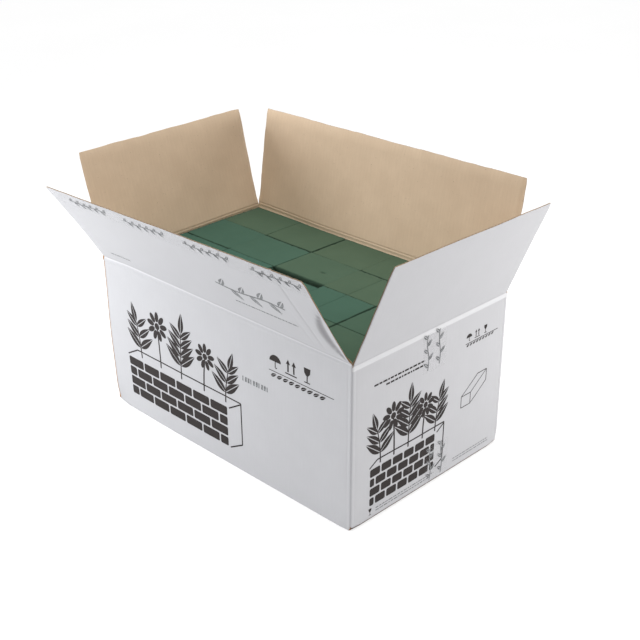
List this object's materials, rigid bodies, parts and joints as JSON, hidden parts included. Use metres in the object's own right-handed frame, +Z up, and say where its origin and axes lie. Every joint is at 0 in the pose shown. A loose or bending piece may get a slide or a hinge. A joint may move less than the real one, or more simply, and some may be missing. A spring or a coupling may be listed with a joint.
{
  "type": "carton of floral foam bricks",
  "caption": "Open corrugated carton with four hinged top flaps, packed with rectangular green floral foam bricks standing on end",
  "frame": {"origin": "middle of the carton's underside, on the surface it stands on", "axes": "+Z up; +X along the carton's long side, towards the right short wall; +Y towards the rear long wall"},
  "size_m": [0.6029, 0.422, 0.3968],
  "materials": {
    "carton_board": "matte",
    "clear_tape": "gloss",
    "floral_foam": "matte"
  },
  "bodies": {
    "carton": {"front_wall": "carton_board", "right_wall": "carton_board", "rear_wall": "carton_board", "left_wall": "carton_board", "glue_tab": "carton_board", "front_bottom_flap": "carton_board", "right_bottom_flap": "carton_board", "rear_bottom_flap": "carton_board", "left_bottom_flap": "carton_board", "bottom_tape": "clear_tape", "left_wall_tape_tail": "clear_tape", "right_wall_tape_tail": "clear_tape"},
    "front_flap": {"front_top_flap": "carton_board", "front_flap_tape": "clear_tape"},
    "rear_flap": {"rear_top_flap": "carton_board", "rear_flap_tape": "clear_tape"},
    "left_flap": {"left_top_flap": "carton_board"},
    "right_flap": {"right_top_flap": "carton_board"},
    "brick_r1_c1": {"foam_brick_r1_c1": "floral_foam"},
    "brick_r1_c2": {"foam_brick_r1_c2": "floral_foam"},
    "brick_r1_c3": {"foam_brick_r1_c3": "floral_foam"},
    "brick_r1_c4": {"foam_brick_r1_c4": "floral_foam"},
    "brick_r1_c5": {"foam_brick_r1_c5": "floral_foam"},
    "brick_r2_c1": {"foam_brick_r2_c1": "floral_foam"},
    "brick_r2_c2": {"foam_brick_r2_c2": "floral_foam"},
    "brick_r2_c3": {"foam_brick_r2_c3": "floral_foam"},
    "brick_r2_c4": {"foam_brick_r2_c4": "floral_foam"},
    "brick_r2_c5": {"foam_brick_r2_c5": "floral_foam"},
    "brick_r3_c1": {"foam_brick_r3_c1": "floral_foam"},
    "brick_r3_c2": {"foam_brick_r3_c2": "floral_foam"},
    "brick_r3_c3": {"foam_brick_r3_c3": "floral_foam"},
    "brick_r3_c4": {"foam_brick_r3_c4": "floral_foam"},
    "brick_r3_c5": {"foam_brick_r3_c5": "floral_foam"},
    "brick_r4_c1": {"foam_brick_r4_c1": "floral_foam"},
    "brick_r4_c2": {"foam_brick_r4_c2": "floral_foam"},
    "brick_r4_c3": {"foam_brick_r4_c3": "floral_foam"},
    "brick_r4_c4": {"foam_brick_r4_c4": "floral_foam"},
    "brick_r4_c5": {"foam_brick_r4_c5": "floral_foam"}
  },
  "joints": [
    {"name": "front_flap_hinge", "type": "hinge", "parent": "carton", "child": "front_flap", "pos_m": [0, -0.156, 0.2428], "axis": [1, 0, 0], "range_deg": [-123, 142]},
    {"name": "right_flap_hinge", "type": "hinge", "parent": "carton", "child": "right_flap", "pos_m": [0.251, 0, 0.2396], "axis": [0, 1, 0], "range_deg": [-112, 153]},
    {"name": "rear_flap_hinge", "type": "hinge", "parent": "carton", "child": "rear_flap", "pos_m": [0, 0.156, 0.2428], "axis": [-1, 0, 0], "range_deg": [-99.2, 165.8]},
    {"name": "left_flap_hinge", "type": "hinge", "parent": "carton", "child": "left_flap", "pos_m": [-0.251, 0, 0.2396], "axis": [0, -1, 0], "range_deg": [-105.9, 159.1]},
    {"name": "brick_r1_c1_lift", "type": "slide", "parent": "carton", "child": "brick_r1_c1", "axis": [0, 0, 1], "range_m": [0, 0.25]},
    {"name": "brick_r1_c2_lift", "type": "slide", "parent": "carton", "child": "brick_r1_c2", "axis": [0, 0, 1], "range_m": [0, 0.25]},
    {"name": "brick_r1_c3_lift", "type": "slide", "parent": "carton", "child": "brick_r1_c3", "axis": [0, 0, 1], "range_m": [0, 0.25]},
    {"name": "brick_r1_c4_lift", "type": "slide", "parent": "carton", "child": "brick_r1_c4", "axis": [0, 0, 1], "range_m": [0, 0.25]},
    {"name": "brick_r1_c5_lift", "type": "slide", "parent": "carton", "child": "brick_r1_c5", "axis": [0, 0, 1], "range_m": [0, 0.25]},
    {"name": "brick_r2_c1_lift", "type": "slide", "parent": "carton", "child": "brick_r2_c1", "axis": [0, 0, 1], "range_m": [0, 0.25]},
    {"name": "brick_r2_c2_lift", "type": "slide", "parent": "carton", "child": "brick_r2_c2", "axis": [0, 0, 1], "range_m": [0, 0.25]},
    {"name": "brick_r2_c3_lift", "type": "slide", "parent": "carton", "child": "brick_r2_c3", "axis": [0, 0, 1], "range_m": [0, 0.25]},
    {"name": "brick_r2_c4_lift", "type": "slide", "parent": "carton", "child": "brick_r2_c4", "axis": [0, 0, 1], "range_m": [0, 0.25]},
    {"name": "brick_r2_c5_lift", "type": "slide", "parent": "carton", "child": "brick_r2_c5", "axis": [0, 0, 1], "range_m": [0, 0.25]},
    {"name": "brick_r3_c1_lift", "type": "slide", "parent": "carton", "child": "brick_r3_c1", "axis": [0, 0, 1], "range_m": [0, 0.25]},
    {"name": "brick_r3_c2_lift", "type": "slide", "parent": "carton", "child": "brick_r3_c2", "axis": [0, 0, 1], "range_m": [0, 0.25]},
    {"name": "brick_r3_c3_lift", "type": "slide", "parent": "carton", "child": "brick_r3_c3", "axis": [0, 0, 1], "range_m": [0, 0.25]},
    {"name": "brick_r3_c4_lift", "type": "slide", "parent": "carton", "child": "brick_r3_c4", "axis": [0, 0, 1], "range_m": [0, 0.25]},
    {"name": "brick_r3_c5_lift", "type": "slide", "parent": "carton", "child": "brick_r3_c5", "axis": [0, 0, 1], "range_m": [0, 0.25]},
    {"name": "brick_r4_c1_lift", "type": "slide", "parent": "carton", "child": "brick_r4_c1", "axis": [0, 0, 1], "range_m": [0, 0.25]},
    {"name": "brick_r4_c2_lift", "type": "slide", "parent": "carton", "child": "brick_r4_c2", "axis": [0, 0, 1], "range_m": [0, 0.25]},
    {"name": "brick_r4_c3_lift", "type": "slide", "parent": "carton", "child": "brick_r4_c3", "axis": [0, 0, 1], "range_m": [0, 0.25]},
    {"name": "brick_r4_c4_lift", "type": "slide", "parent": "carton", "child": "brick_r4_c4", "axis": [0, 0, 1], "range_m": [0, 0.25]},
    {"name": "brick_r4_c5_lift", "type": "slide", "parent": "carton", "child": "brick_r4_c5", "axis": [0, 0, 1], "range_m": [0, 0.25]}
  ]
}
